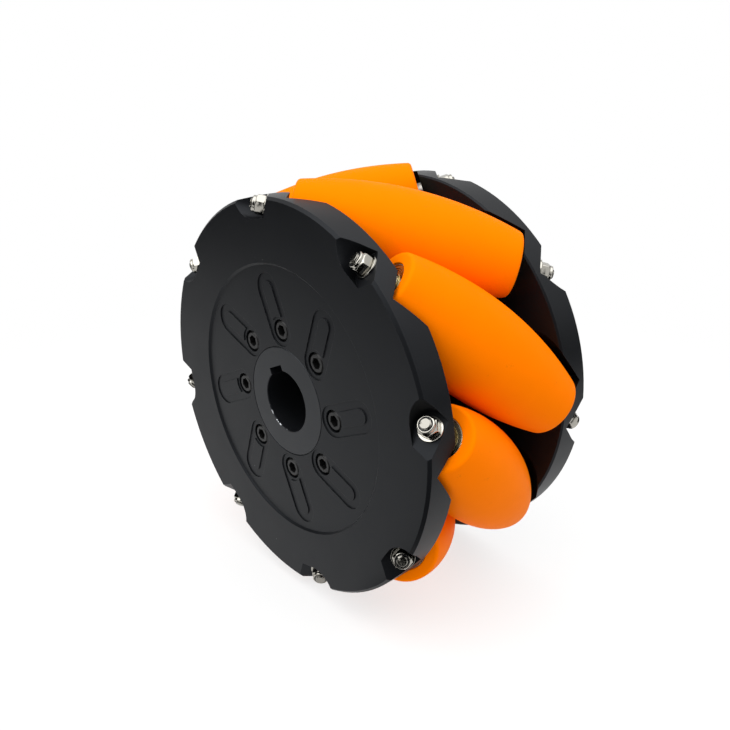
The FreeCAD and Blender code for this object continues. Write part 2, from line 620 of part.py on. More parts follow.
def check_and_export(bodies):
    doc.recompute()
    for item in doc.Objects:
        if "Invalid" in item.State or "Error" in item.State:
            raise RuntimeError(f"{item.Name} did not recompute: {item.State}")
    for body in bodies:
        if body.Shape.isNull() or not body.Shape.isValid() or not body.Shape.Solids:
            raise RuntimeError(f"{body.Label} has no valid solid")
    os.makedirs("parts", exist_ok=True)
    for body in bodies:
        body.Shape.exportStep(f"parts/{body.Label}.step")
        print(f"{body.Label:26s} solids {len(body.Shape.Solids):3d} volume {body.Shape.Volume:12.2f}")


pieces = [make_hub()]
for side_name in SIDES:
    pieces += [make_plate(side_name), make_plate_screws(side_name),
               make_washers(side_name), make_nuts(side_name)]
pieces += [make_inner_rings(), make_inner_spacers(), make_end_spacers()]
for roller in range(roller_count):
    pieces += [make_axle(roller), make_tyre(roller), make_core(roller),
               make_outer_rings(roller), make_balls(roller), make_shields(roller)]
check_and_export(pieces)
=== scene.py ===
"""Mecanum wheel: the finish of every surface, the fasteners' fine forms and a plain stage.

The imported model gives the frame: the wheel's centre at the origin, the shaft along Y with the near plate at
-Y, and Z up. A roller's own frame has Z along its axle and X out from the shaft. Lengths are in metres.
"""

import json
import math

import bmesh
import bpy
from bpy.props import FloatProperty, FloatVectorProperty, IntProperty, PointerProperty
from mathutils import Matrix, Vector


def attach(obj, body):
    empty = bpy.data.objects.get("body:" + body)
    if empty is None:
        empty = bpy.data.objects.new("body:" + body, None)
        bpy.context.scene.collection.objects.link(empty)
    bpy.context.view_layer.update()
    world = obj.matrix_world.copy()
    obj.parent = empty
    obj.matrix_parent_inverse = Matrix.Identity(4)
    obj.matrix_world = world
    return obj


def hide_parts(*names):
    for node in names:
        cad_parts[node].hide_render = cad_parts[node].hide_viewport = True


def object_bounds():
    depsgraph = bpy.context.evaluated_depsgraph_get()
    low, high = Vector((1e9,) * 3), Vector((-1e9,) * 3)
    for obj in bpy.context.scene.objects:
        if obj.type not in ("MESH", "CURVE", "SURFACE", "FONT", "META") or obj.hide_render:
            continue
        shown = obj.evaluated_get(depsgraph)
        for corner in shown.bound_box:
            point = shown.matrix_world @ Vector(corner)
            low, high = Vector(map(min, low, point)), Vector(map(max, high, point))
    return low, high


bl_info = {
    "name": "Mecanum Wheel",
    "version": (1, 0, 0),
    "blender": (4, 5, 0),
    "location": "3D View > Sidebar > Wheel",
    "description": "Finishes a mecanum wheel with barrel rollers and sets a plain stage for it",
    "category": "Object",
}

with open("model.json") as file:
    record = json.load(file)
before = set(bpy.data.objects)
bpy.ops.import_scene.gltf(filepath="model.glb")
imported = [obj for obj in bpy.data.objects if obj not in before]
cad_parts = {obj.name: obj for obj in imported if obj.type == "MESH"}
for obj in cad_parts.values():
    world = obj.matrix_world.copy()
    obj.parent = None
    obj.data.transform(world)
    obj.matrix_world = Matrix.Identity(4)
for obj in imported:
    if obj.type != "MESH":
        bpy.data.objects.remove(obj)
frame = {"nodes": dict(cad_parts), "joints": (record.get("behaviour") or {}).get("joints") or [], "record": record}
CAD_BOX = [list(corner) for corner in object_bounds()]
NODES = frame["nodes"]
JOINTS = {joint["child"]: joint for joint in frame["joints"]}
ROLLERS = range(1, len(JOINTS) + 1)
NEAR, FAR = -1, 1
SIDES = {"near": NEAR, "far": FAR}
MM = 0.001

# Sockets of a Mix node that mixes colours
MIX_A, MIX_B, MIXED = 6, 7, 2


def linear(code):
    """Linear colour of an sRGB hex value such as #FF8000."""
    parts = [int(code[start:start + 2], 16) / 255 for start in (1, 3, 5)]
    return [part / 12.92 if part <= 0.04045 else ((part + 0.055) / 1.055) ** 2.4 for part in parts]


def opaque(colour):
    return (*colour, 1.0)


def axle_frame(number):
    """Matrix from a roller's own frame to the wheel's."""
    joint = JOINTS[f"roller_{number}"]
    centre, along = Vector(joint["pos_m"]), Vector(joint["axis"]).normalized()
    outward = (centre - along * centre.dot(along)).normalized()
    turn = Matrix((outward, along.cross(outward), along)).transposed()
    return Matrix.Translation(centre) @ turn.to_4x4()


def end_frame(number, side):
    """An axle's frame with Z pointing out of the wheel at the side's end."""
    turn = Matrix.Rotation(math.pi, 4, "X") if side == NEAR else Matrix.Identity(4)
    return axle_frame(number) @ turn


def along_axle(node, number, side, reach):
    """Lowest and highest place along an axle, at one side, of a CAD node's vertices within reach of it."""
    to_axle = end_frame(number, side).inverted()
    local = [to_axle @ vertex.co for vertex in NODES[node].data.vertices]
    places = [point.z for point in local if point.z > 0 and point.xy.length < reach]
    return min(places), max(places)


def radius_about_axle(node, number):
    to_axle = axle_frame(number).inverted()
    return max((to_axle @ vertex.co).xy.length for vertex in NODES[node].data.vertices)


# Radii about an axle that take in its washers, and its bearings
WASHER_REACH, BEARING_REACH = 9 * MM, 10 * MM

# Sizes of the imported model: heights are along an axle, from the wheel's middle
AXLE_CIRCLE = Vector(JOINTS["roller_1"]["pos_m"]).length
AXLE_RADIUS = radius_about_axle("axle_1", 1)
AXLE_HALF = along_axle("axle_1", 1, NEAR, WASHER_REACH)[1]
ROLLER_RADIUS = radius_about_axle("roller_tyre_1", 1)
ROLLER_HALF = along_axle("roller_tyre_1", 1, NEAR, ROLLER_RADIUS * 2)[1]
NUT_SEAT = along_axle("near_washers", 1, NEAR, WASHER_REACH)[0]
BEARING_FACE = along_axle("bearing_outer_rings_1", 1, NEAR, BEARING_REACH)[1]
SHIELD_LOW, SHIELD_HIGH = along_axle("bearing_shields_1", 1, NEAR, BEARING_REACH)


class WheelSizes(bpy.types.PropertyGroup):
    """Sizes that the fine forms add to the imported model."""
    tyre_edge: FloatProperty(name="Tyre edge", description="Rounded edge at the ends of a tyre",
                             default=2.0 * MM, min=0.5 * MM, max=3.0 * MM, unit="LENGTH")
    tyre_mouth: FloatProperty(name="Tyre mouth", description="Radius of the opening in front of a bearing",
                              default=9.75 * MM, min=9.5 * MM, max=11.0 * MM, unit="LENGTH")
    thread_radius: FloatProperty(name="Thread radius", description="Radius over the thread's crests",
                                 default=2.5 * MM, min=2.0 * MM, max=3.0 * MM, unit="LENGTH")
    thread_pitch: FloatProperty(name="Thread pitch", description="From one crest of the thread to the next",
                                default=0.8 * MM, min=0.5 * MM, max=1.0 * MM, unit="LENGTH")
    thread_length: FloatProperty(name="Thread length", description="Thread at each end of a stud",
                                 default=10.0 * MM, min=8.5 * MM, max=20.0 * MM, unit="LENGTH")
    stud_reach: FloatProperty(name="Stud reach", description="Stud beyond the packed model's axle",
                              default=0.8 * MM, min=0.0, max=1.2 * MM, unit="LENGTH")
    nut_flats: FloatProperty(name="Nut", description="Across the flats of the nuts",
                             default=8.1 * MM, min=8.0 * MM, max=10.0 * MM, unit="LENGTH")
    nut_height: FloatProperty(name="Nut height", description="Height of the nuts with their collar",
                              default=5.9 * MM, min=4.7 * MM, max=6.3 * MM, unit="LENGTH")
    ring_width: FloatProperty(name="Locking ring", description="Wall of the nylon ring in a nut",
                              default=0.6 * MM, min=0.3 * MM, max=0.6 * MM, unit="LENGTH")
    washer_radius: FloatProperty(name="Washer", description="Outer radius of the washers",
                                 default=5.5 * MM, min=5.0 * MM, max=6.0 * MM, unit="LENGTH")
    washer_thickness: FloatProperty(name="Washer thickness", description="Thickness of the washers",
                                    default=1.0 * MM, min=0.8 * MM, max=1.6 * MM, unit="LENGTH")
    shield_sheet: FloatProperty(name="Shield", description="Sheet of the bearings' shields",
                                default=0.3 * MM, min=0.2 * MM, max=0.4 * MM, unit="LENGTH")
    turning_steps: IntProperty(name="Turning steps", description="Faces round a turned piece",
                               default=96, min=24, max=192)


class WheelColours(bpy.types.PropertyGroup):
    """Colours of the finishes."""
    anodised: FloatVectorProperty(name="Anodised aluminium", description="Dyed oxide of the plates",
                                  subtype="COLOR", default=linear("#0D0E10"), min=0, max=1)
    polyurethane: FloatVectorProperty(name="Polyurethane", description="Cast tyres",
                                      subtype="COLOR", default=linear("#FF7C00"), min=0, max=1)
    stainless: FloatVectorProperty(name="Stainless steel", description="Studs, nuts and washers",
                                   subtype="COLOR", default=linear("#A9A69E"), min=0, max=1)
    black_oxide: FloatVectorProperty(name="Black oxide", description="Cap screws",
                                     subtype="COLOR", default=linear("#131313"), min=0, max=1)
    shield: FloatVectorProperty(name="Shield", description="Pressed shields of the bearings",
                                subtype="COLOR", default=linear("#D6C283"), min=0, max=1)
    locking_ring: FloatVectorProperty(name="Locking ring", description="Nylon rings in the nuts",
                                      subtype="COLOR", default=linear("#0E0F14"), min=0, max=1)
    floor: FloatVectorProperty(name="Floor", description="Matt paper of the floor",
                               subtype="COLOR", default=linear("#F7F7F7"), min=0, max=1)


def add_node(tree, kind, settings=None, inputs=None):
    """Adds a node, sets its properties, and fills its inputs with values or with what other nodes give."""
    node = tree.nodes.new("ShaderNode" + kind)
    for name, value in (settings or {}).items():
        setattr(node, name, value)
    for name, value in (inputs or {}).items():
        if isinstance(value, bpy.types.Node):
            value = next(output for output in value.outputs if output.enabled)
        if isinstance(value, bpy.types.NodeSocket):
            tree.links.new(value, node.inputs[name])
        else:
            node.inputs[name].default_value = value
    return node


def new_material(name):
    """Empty material, its node tree and its shader."""
    material = bpy.data.materials.new(name)
    material.use_nodes = True
    tree = material.node_tree
    tree.nodes.clear()
    shader = add_node(tree, "BsdfPrincipled")
    add_node(tree, "OutputMaterial", inputs={"Surface": shader})
    return material, tree, shader


def per_metre(size):
    """Texture scale that gives one feature for each length of this size."""
    return 1 / size


def anodised_aluminium(name, colours, sheen=0.16):
    """Black anodised aluminium, turned and bead blasted: dyed oxide that stays dark and satin.

    The blasted grain breaks up reflections, the lathe leaves faint rings on the faces square to the shaft,
    edges are painted paler in patches as a painted highlight, and a little pale dust sticks to it.
    """
    material, tree, shader = new_material(name)
    place = add_node(tree, "TexCoord").outputs["Object"]
    surface = add_node(tree, "NewGeometry").outputs["Normal"]
    # A bead's dent is about 0.1 mm wide and a lathe's ring 0.15 mm. Both are too fine to show in the render,
    # so they are drawn coarser
    grain = add_node(tree, "TexNoise", inputs={
        "Vector": place, "Scale": per_metre(0.45 * MM), "Detail": 3.0, "Roughness": 0.6})
    across = add_node(tree, "VectorMath", {"operation": "MULTIPLY"}, {0: place, 1: (1.0, 0.0, 1.0)})
    radius = add_node(tree, "VectorMath", {"operation": "LENGTH"}, {0: across})
    rings = add_node(tree, "TexNoise", {"noise_dimensions": "1D"}, {
        "W": radius, "Scale": per_metre(0.5 * MM), "Detail": 2.0})
    facing = add_node(tree, "SeparateXYZ", inputs={"Vector": surface}).outputs["Y"]
    facing = add_node(tree, "Math", {"operation": "ABSOLUTE"}, {0: facing})
    facing = add_node(tree, "MapRange", inputs={"Value": facing, "From Min": 0.9, "From Max": 1.0})
    height = add_node(tree, "Math", {"operation": "MULTIPLY_ADD"}, {0: rings, 1: facing, 2: grain})
    rounded_edges = add_node(tree, "Bevel", {"samples": 6}, {"Radius": 0.17 * MM})
    bump = add_node(tree, "Bump", inputs={
        "Strength": 0.2, "Distance": 0.02 * MM, "Height": height, "Normal": rounded_edges})
    # Painted highlight: edges are painted pale in patches, standing in for the light that rounded edges catch
    along = add_node(tree, "VectorMath", {"operation": "DOT_PRODUCT"}, {0: surface, 1: rounded_edges})
    edge = add_node(tree, "MapRange", inputs={"Value": along, "From Min": 0.99, "From Max": 0.80})
    patches = add_node(tree, "TexNoise", inputs={
        "Vector": place, "Scale": per_metre(3 * MM), "Detail": 3.0, "Roughness": 0.6})
    highlight_patches = add_node(tree, "MapRange", inputs={
        "Value": patches, "From Min": 0.42, "From Max": 0.62, "To Max": 0.55})
    painted_edge_highlight = add_node(tree, "Math", {"operation": "MULTIPLY"}, {0: edge, 1: highlight_patches})
    cells = add_node(tree, "TexVoronoi", inputs={"Vector": place, "Scale": per_metre(6 * MM)}).outputs
    draw = add_node(tree, "SeparateColor", inputs={"Color": cells["Color"]})
    chosen = add_node(tree, "Math", {"operation": "GREATER_THAN"}, {0: draw, 1: 0.955})
    speck = add_node(tree, "MapRange", inputs={
        "Value": cells["Distance"], "From Min": 0.040, "From Max": 0.025, "To Max": 0.6})
    dust = add_node(tree, "Math", {"operation": "MULTIPLY"}, {0: chosen, 1: speck})
    cloud = add_node(tree, "TexNoise", inputs={
        "Vector": place, "Scale": per_metre(18 * MM), "Detail": 4.0, "Roughness": 0.6})
    tint = add_node(tree, "Mix", {"data_type": "RGBA"}, {
        "Factor": cloud, MIX_A: opaque(colours.anodised),
        MIX_B: opaque([part * 1.35 for part in colours.anodised])})
    tint = add_node(tree, "Mix", {"data_type": "RGBA"}, {
        "Factor": painted_edge_highlight, MIX_A: tint, MIX_B: opaque(linear("#5C5F61"))})
    tint = add_node(tree, "Mix", {"data_type": "RGBA"}, {
        "Factor": dust, MIX_A: tint, MIX_B: opaque(linear("#8E9092"))})
    satin = add_node(tree, "MapRange", inputs={"Value": cloud, "To Min": 0.34, "To Max": 0.46})
    tree.links.new(tint.outputs[MIXED], shader.inputs["Base Color"])
    tree.links.new(satin.outputs[0], shader.inputs["Roughness"])
    tree.links.new(bump.outputs[0], shader.inputs["Normal"])
    shader.inputs["Specular IOR Level"].default_value = sheen
    shader.inputs["Specular Tint"].default_value = opaque(linear("#EFF6FF"))
    return material


def worn_anodised_aluminium(name, colours):
    """Black anodised aluminium of the hub, turned without blasting: brighter, with bare spots at the bore.

    Shafts have rubbed through the oxide at the lower left of the bore's near mouth.
    """
    material = anodised_aluminium(name, colours, 0.32)
    tree = material.node_tree
    shader = next(node for node in tree.nodes if node.type == "BSDF_PRINCIPLED")
    place = add_node(tree, "TexCoord").outputs["Object"]
    across = add_node(tree, "VectorMath", {"operation": "MULTIPLY"}, {0: place, 1: (1.0, 0.0, 1.0)})
    radius = add_node(tree, "VectorMath", {"operation": "LENGTH"}, {0: across})
    apart = add_node(tree, "SeparateXYZ", inputs={"Vector": place}).outputs
    patches = add_node(tree, "TexNoise", inputs={
        "Vector": place, "Scale": per_metre(1.6 * MM), "Detail": 3.0, "Roughness": 0.6})
    # What limits the bare spots: a value, where they start and where they are full
    limits = ((radius, 15.4 * MM, 15.2 * MM), (apart["Y"], -50.2 * MM, -50.4 * MM),
              (apart["X"], 3 * MM, 0.0), (apart["Z"], -6 * MM, -9 * MM), (patches, 0.55, 0.62))
    bare = 1.0
    for value, start, full in limits:
        step = add_node(tree, "MapRange", inputs={"Value": value, "From Min": start, "From Max": full})
        bare = add_node(tree, "Math", {"operation": "MULTIPLY"}, {0: step, 1: bare})
    dyed = shader.inputs["Base Color"].links[0].from_socket
    tint = add_node(tree, "Mix", {"data_type": "RGBA"}, {
        "Factor": bare, MIX_A: dyed, MIX_B: opaque(linear("#B4B7BB"))})
    tree.links.new(tint.outputs[MIXED], shader.inputs["Base Color"])
    tree.links.new(bare.outputs[0], shader.inputs["Metallic"])
    return material


def cast_polyurethane(name, colours):
    """Cast polyurethane ground to its barrel: dense orange with a dull satin skin and faint grinding lines.

    A few darker scuffs show where the tyre has run.
    """
    material, tree, shader = new_material(name)
    place = add_node(tree, "TexCoord").outputs["Object"]
    axial = add_node(tree, "Attribute", {"attribute_name": "axial"}).outputs["Fac"]
    # A grinding wheel's lines are about 0.1 mm apart and the skin is finer: both are drawn coarser to show
    lines = add_node(tree, "TexNoise", {"noise_dimensions": "1D"}, {
        "W": axial, "Scale": per_metre(0.7 * MM), "Detail": 3.0})
    skin = add_node(tree, "TexNoise", inputs={
        "Vector": place, "Scale": per_metre(0.6 * MM), "Detail": 2.0, "Roughness": 0.6})
    height = add_node(tree, "Math", {"operation": "ADD"}, {0: lines, 1: skin})
    bump = add_node(tree, "Bump", inputs={"Strength": 0.10, "Distance": 0.02 * MM, "Height": height})
    cloud = add_node(tree, "TexNoise", inputs={
        "Vector": place, "Scale": per_metre(14 * MM), "Detail": 3.0, "Roughness": 0.6})
    patches = add_node(tree, "TexNoise", inputs={
        "Vector": place, "Scale": per_metre(5 * MM), "Detail": 3.0, "Roughness": 0.6})
    rubbed = add_node(tree, "MapRange", inputs={
        "Value": patches, "From Min": 0.62, "From Max": 0.72, "To Max": 0.22})
    streaks = add_node(tree, "MapRange", inputs={"Value": skin, "From Min": 0.50, "From Max": 0.60})
    scuffs = add_node(tree, "Math", {"operation": "MULTIPLY"}, {0: rubbed, 1: streaks})
    tint = add_node(tree, "Mix", {"data_type": "RGBA"}, {
        "Factor": cloud, MIX_A: opaque(colours.polyurethane),
        MIX_B: opaque([part * 0.93 for part in colours.polyurethane])})
    tint = add_node(tree, "Mix", {"data_type": "RGBA"}, {
        "Factor": scuffs, MIX_A: tint, MIX_B: opaque(linear("#B85F1A"))})
    satin = add_node(tree, "MapRange", inputs={"Value": cloud, "To Min": 0.44, "To Max": 0.58})
    tree.links.new(tint.outputs[MIXED], shader.inputs["Base Color"])
    tree.links.new(satin.outputs[0], shader.inputs["Roughness"])
    tree.links.new(bump.outputs[0], shader.inputs["Normal"])
    shader.inputs["Specular IOR Level"].default_value = 0.012
    shader.inputs["Specular Tint"].default_value = opaque(linear("#FFA040"))
    return material


def steel(name, colour, rough, grain_size, strength, edge=0.0):
    """Steel with a grain left by drawing, turning or tumbling, and edges softened by this much.

    Real marks are 0.02 to 0.1 mm wide, which is too fine to show, so every grain size is given coarser.
    """
    material, tree, shader = new_material(name)
    place = add_node(tree, "TexCoord").outputs["Object"]
    grain = add_node(tree, "TexNoise", inputs={
        "Vector": place, "Scale": per_metre(grain_size), "Detail": 4.0, "Roughness": 0.6})
    marks = {"Strength": strength, "Distance": 0.03 * MM, "Height": grain}
    if edge:
        marks["Normal"] = add_node(tree, "Bevel", {"samples": 6}, {"Radius": edge})
    bump = add_node(tree, "Bump", inputs=marks)
    gloss = add_node(tree, "MapRange", inputs={
        "Value": grain, "To Min": rough * 0.75, "To Max": rough * 1.25})
    tree.links.new(gloss.outputs[0], shader.inputs["Roughness"])
    tree.links.new(bump.outputs[0], shader.inputs["Normal"])
    shader.inputs["Base Color"].default_value = opaque(colour)
    shader.inputs["Metallic"].default_value = 1.0
    return material


def stainless_steel(name, colours):
    """Stainless steel, rolled and turned: bright, with the drawn bar's fine grain."""
    return steel(name, colours.stainless, 0.13, 0.8 * MM, 0.2)


def rolled_stainless_steel(name, colours):
    """Stainless steel of the studs, rolled and sawn off: duller than the nuts and mottled at the ends."""
    return steel(name, [part * 0.62 for part in colours.stainless], 0.20, 0.4 * MM, 1.0)


def ground_bearing_steel(name, colours):
    """Ground bearing steel under a film of grease: bright, slightly yellow, with softened edges."""
    return steel(name, linear("#D3CAA8"), 0.22, 0.5 * MM, 0.1, 0.35 * MM)


def pressed_steel_sheet(name, colours):
    """Pressed steel sheet, passivated: a soft shine with a pale yellow tint."""
    return steel(name, colours.shield, 0.26, 0.6 * MM, 0.3)


def turned_steel(name, colours):
    """Turned steel tube, bare: a plain dull grey."""
    return steel(name, linear("#96938C"), 0.34, 0.4 * MM, 0.2, 0.15 * MM)


def black_oxide_steel(name, colours):
    """Black oxide steel: the oxide hides the metal's own shine under a thin oily film with a soft gloss."""
    material, tree, shader = new_material(name)
    place = add_node(tree, "TexCoord").outputs["Object"]
    # The oxide's crystals are far too fine to show, so their grain is drawn coarser
    grain = add_node(tree, "TexNoise", inputs={
        "Vector": place, "Scale": per_metre(0.3 * MM), "Detail": 4.0, "Roughness": 0.6})
    rounded_edges = add_node(tree, "Bevel", {"samples": 6}, {"Radius": 0.25 * MM})
    bump = add_node(tree, "Bump", inputs={
        "Strength": 0.3, "Distance": 0.03 * MM, "Height": grain, "Normal": rounded_edges})
    tree.links.new(bump.outputs[0], shader.inputs["Normal"])
    shader.inputs["Base Color"].default_value = opaque(colours.black_oxide)
    shader.inputs["Roughness"].default_value = 0.34
    shader.inputs["Specular IOR Level"].default_value = 0.27
    return material


def nylon(name, colour):
    """Moulded nylon: a soft sheen over a fine skin."""
    material, tree, shader = new_material(name)
    place = add_node(tree, "TexCoord").outputs["Object"]
    # A mould's skin is about 0.05 mm coarse, which is too fine to show, so it is drawn coarser
    skin = add_node(tree, "TexNoise", inputs={
        "Vector": place, "Scale": per_metre(0.5 * MM), "Detail": 2.0, "Roughness": 0.6})
    bump = add_node(tree, "Bump", inputs={"Strength": 0.1, "Distance": 0.02 * MM, "Height": skin})
    tree.links.new(bump.outputs[0], shader.inputs["Normal"])
    shader.inputs["Base Color"].default_value = opaque(colour)
    shader.inputs["Roughness"].default_value = 0.45
    return material


def natural_nylon(name, colours):
    """Moulded undyed nylon of the roller cores: cream, with a soft sheen."""
    return nylon(name, linear("#C9C3B2"))


def black_nylon(name, colours):
    """Moulded dyed nylon of the rings that lock the nuts: near black, with a soft sheen."""
    return nylon(name, colours.locking_ring)


# Each finish by its slot in the record, or by its piece where one slot has two
FINISHES = {
    "black_anodised": ("Black anodised aluminium", anodised_aluminium),
    "hub": ("Worn black anodised aluminium", worn_anodised_aluminium),
    "orange_polyurethane": ("Cast polyurethane", cast_polyurethane),
    "stainless_steel": ("Stainless steel", stainless_steel),
    "studs": ("Rolled stainless steel", rolled_stainless_steel),
    "black_steel": ("Black oxide steel", black_oxide_steel),
    "bearing_steel": ("Ground bearing steel", ground_bearing_steel),
    "shield_steel": ("Pressed steel sheet", pressed_steel_sheet),
    "plain_steel": ("Turned steel", turned_steel),
    "white_nylon": ("Natural nylon", natural_nylon),
    "locking_ring": ("Black nylon", black_nylon),
}


def finish(key):
    """Material of a finish, made when it is first asked for."""
    name, make = FINISHES[key]
    return bpy.data.materials.get(name) or make(name, bpy.context.scene.wheel_colours)


def rounded(corners, steps=6):
    """Outline through corners of (radius, height, rounding) with each corner turned into an arc."""
    points = []
    for index, (radius, height, rounding) in enumerate(corners):
        here = Vector((radius, height))
        if not rounding:
            points.append(here)
            continue
        back = (Vector(corners[index - 1][:2]) - here).normalized()
        ahead = (Vector(corners[(index + 1) % len(corners)][:2]) - here).normalized()
        half = back.angle(ahead) / 2
        centre = here + (back + ahead).normalized() * rounding / math.sin(half)
        reach = rounding / math.tan(half)
        start, end = ((here + side * reach - centre).normalized() for side in (back, ahead))
        points += [centre + start.slerp(end, step / steps) * rounding for step in range(steps + 1)]
    return points


def shade(mesh, sharp_angle=35):
    """Smooth shading with sharp edges where faces meet at more than the angle."""
    work = bmesh.new()
    work.from_mesh(mesh)
    bmesh.ops.remove_doubles(work, verts=work.verts, dist=1e-7)
    bmesh.ops.recalc_face_normals(work, faces=work.faces)
    for face in work.faces:
        face.smooth = True
    for edge in work.edges:
        edge.smooth = len(edge.link_faces) != 2 or edge.calc_face_angle(0) < math.radians(sharp_angle)
    work.to_mesh(mesh)
    work.free()


def turned_mesh(name, outline, steps):
    """Closed outline of (radius, height) points turned about Z, with the height kept as an attribute."""
    corners = [(radius * math.cos(angle), radius * math.sin(angle), height)
               for angle in (2 * math.pi * step / steps for step in range(steps))
               for radius, height in outline]
    count = len(outline)
    faces = []
    for step in range(steps):
        here, following = step * count, (step + 1) % steps * count
        for index in range(count):
            ahead = (index + 1) % count
            faces.append((here + index, following + index, following + ahead, here + ahead))
    mesh = bpy.data.meshes.new(name)
    mesh.from_pydata(corners, [], faces)
    shade(mesh)
    axial = mesh.attributes.new("axial", "FLOAT", "POINT")
    axial.data.foreach_set("value", [vertex.co.z for vertex in mesh.vertices])
    return mesh


def place_copies(name, mesh, placings):
    """One object that holds a copy of the mesh at each placing."""
    work = bmesh.new()
    for placing in placings:
        first = len(work.verts)
        work.from_mesh(mesh)
        work.verts.ensure_lookup_table()
        bmesh.ops.transform(work, matrix=placing, verts=work.verts[first:])
    joined = bpy.data.meshes.new(name)
    work.to_mesh(joined)
    work.free()
    piece = bpy.data.objects.new(name, joined)
    bpy.context.scene.collection.objects.link(piece)
    return piece


def settle(piece, body, slot, *nodes, finish_key=None):
    """Gives a piece its finish and its body, and hides the CAD nodes that it stands for."""
    piece.data.materials.clear()
    piece.data.materials.append(finish(finish_key or slot))
    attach(piece, body)
    if nodes:
        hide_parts(*nodes)


def solid_of(name, mesh, modifiers):
    """Mesh that results from modifiers, given as (kind, settings), on a mesh."""
    piece = bpy.data.objects.new(name, mesh)
    bpy.context.scene.collection.objects.link(piece)
    for kind, settings in modifiers:
        modifier = piece.modifiers.new(kind.title(), kind)
        for setting, value in settings.items():
            setattr(modifier, setting, value)
    depsgraph = bpy.context.evaluated_depsgraph_get()
    result = bpy.data.meshes.new_from_object(piece.evaluated_get(depsgraph))
    result.name = name
    bpy.data.objects.remove(piece)
    return result


class WHEEL_OT_finish_machined(bpy.types.Operator):
    """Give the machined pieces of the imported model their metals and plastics"""
    bl_idname = "wheel.finish_machined"
    bl_label = "Finish machined pieces"

    def execute(self, context):
        slots = {part["node"]: part["material_slot"] for part in frame["record"]["subparts"]}
        for name, piece in NODES.items():
            piece.data.materials.clear()
            piece.data.materials.append(finish("hub" if name == "hub" else slots[name]))
        return {"FINISHED"}


# Outer radius of the core under a tyre, and the rounding at a tyre's mouth
CORE_RADIUS, MOUTH_EDGE = 12.0 * MM, 0.4 * MM


def barrel_outline(sizes):
    """Outline of a tyre: the barrel that touches the wheel's cylinder all along, and its hollow inside.

    The throw is how far the barrel's surface lies from its axle at an angle round the wheel. The angle goes
    up until the barrel ends, in steps of which 28 take nine tenths of a roller's half share of the turn.
    """
    wheel_radius = AXLE_CIRCLE + ROLLER_RADIUS
    tilt = Vector(JOINTS["roller_1"]["axis"]).angle(Vector((0, 1, 0)))
    arc_steps, half_share = 28, math.pi / len(ROLLERS)
    angle_step = 0.9 * half_share / arc_steps
    arc = []
    angle = 0.0
    while True:
        throw = wheel_radius - AXLE_CIRCLE / math.cos(angle)
        place = math.sin(angle) * (wheel_radius - throw * math.cos(tilt) ** 2) / math.sin(tilt)
        radius = throw * math.sqrt(1 - (math.sin(tilt) * math.sin(angle)) ** 2)
        if place >= ROLLER_HALF:
            break
        arc.append((radius, place))
        angle += angle_step
    slope = (arc[-1][0] - arc[-2][0]) / (arc[-1][1] - arc[-2][1])
    end_radius = arc[-1][0] + slope * (ROLLER_HALF - arc[-1][1])
    # The last stretch of the arc is left free for the rounded edge
    arc_end = ROLLER_HALF - 1.5 * sizes.tyre_edge
    half = [(radius, place, 0) for radius, place in arc if place < arc_end]
    half += [(end_radius, ROLLER_HALF, sizes.tyre_edge), (sizes.tyre_mouth, ROLLER_HALF, MOUTH_EDGE),
             (sizes.tyre_mouth, BEARING_FACE, 0), (CORE_RADIUS, BEARING_FACE, 0)]
    mirrored = [(radius, -place, rounding) for radius, place, rounding in reversed(half[1:])]
    return rounded(half + mirrored)


class WHEEL_OT_turn_tyres(bpy.types.Operator):
    """Turn the eight orange tyres"""
    bl_idname = "wheel.turn_tyres"
    bl_label = "Turn tyres"

    def execute(self, context):
        sizes = context.scene.wheel_sizes
        mesh = turned_mesh("tyre", barrel_outline(sizes), sizes.turning_steps)
        for number in ROLLERS:
            piece = place_copies(f"tyre_{number}", mesh, [axle_frame(number)])
            settle(piece, f"roller_{number}", "orange_polyurethane", f"roller_tyre_{number}")
        return {"FINISHED"}


# Angle in degrees at which faces of studs and nuts meet in a sharp edge
FASTENER_SHARP = 40


def threaded_stud(sizes):
    """Stud with a plain shank between two shoulders, a rolled thread beyond each and slightly domed ends.

    The thread is 0.61 of its pitch deep, and its crest and its root each take 3/16 of the pitch.
    """
    major, pitch = sizes.thread_radius, sizes.thread_pitch
    depth, flat, chamfer, dome = 0.61 * pitch, 3 / 16, 0.4 * MM, 0.15 * MM
    rows_per_pitch, steps = 8, 40
    half = AXLE_HALF + sizes.stud_reach
    start, end = half - sizes.thread_length, half - dome
    row_step = pitch / rows_per_pitch
    heights = [start + row_step * row for row in range(int((end - start) / row_step) + 1)] + [end]
    heights = [-height for height in reversed(heights)] + heights
    corners = [(0.0, 0.0, -half)]
    for height in heights:
        past_shoulder = abs(height) - start
        for step in range(steps):
            angle = 2 * math.pi * step / steps
            phase = (height / pitch - step / steps) % 1
            flank = min(1.0, max(0.0, (abs(2 * phase - 1) - flat) / (1 - 2 * flat)))
            radius = AXLE_RADIUS
            if past_shoulder > row_step / 2:
                thread = major - depth * flank * min(1.0, past_shoulder / pitch)
                radius = min(thread, major - chamfer + (end - abs(height)))
            corners.append((radius * math.cos(angle), radius * math.sin(angle), height))
    corners.append((0.0, 0.0, half))
    faces = []
    for row in range(len(heights) - 1):
        for step in range(steps):
            low, ahead = 1 + row * steps, (step + 1) % steps
            faces.append((low + step, low + ahead, low + steps + ahead, low + steps + step))
    last = len(corners) - 1
    for step in range(steps):
        ahead = (step + 1) % steps
        faces.append((0, 1 + ahead, 1 + step))
        faces.append((last, last - steps + step, last - steps + ahead))
    mesh = bpy.data.meshes.new("stud")
    mesh.from_pydata(corners, [], faces)
    shade(mesh, FASTENER_SHARP)
    return mesh


